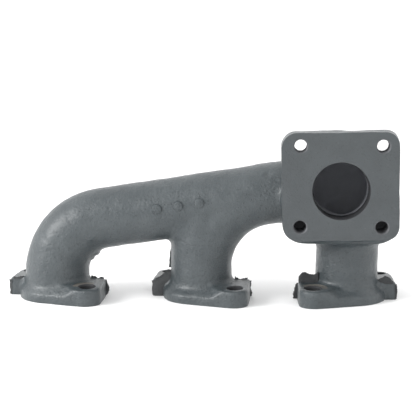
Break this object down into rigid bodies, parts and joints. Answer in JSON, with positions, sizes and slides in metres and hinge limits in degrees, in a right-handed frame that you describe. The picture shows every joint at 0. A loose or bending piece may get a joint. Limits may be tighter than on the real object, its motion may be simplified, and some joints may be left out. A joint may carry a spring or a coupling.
{
  "type": "exhaust manifold",
  "caption": "Cast-iron exhaust manifold: upright port flanges and runners under a rising collector tube, with a square side outlet flange.",
  "frame": {"origin": "centre of the middle port, on the plane of the port faces", "axes": "+X along the manifold towards the outlet, +Y away from the side that the outlet faces, +Z out of the cylinder head"},
  "size_m": [0.2248, 0.0589, 0.0994],
  "materials": {
    "casting": "sand-cast skin under thin dark grey paint, satin",
    "faced_flange": "faced smooth, then painted dark grey, satin",
    "broken_gate": "rough broken iron, dark and matt"
  },
  "bodies": {
    "root": {"front_port_flange": "casting", "middle_port_flange": "casting", "rear_port_flange": "casting", "front_runner": "casting", "middle_runner": "casting", "rear_runner": "casting", "middle_sweep": "casting", "front_elbow": "casting", "front_collector": "casting", "middle_collector": "casting", "rear_collector": "casting", "outlet_chamber": "casting", "outlet_neck": "casting", "outlet_flange": "faced_flange", "left_stud_boss": "casting", "right_stud_boss": "casting", "foundry_pips": "casting", "ingate_stub": "broken_gate", "parting_flash": "broken_gate"}
  },
  "joints": []
}
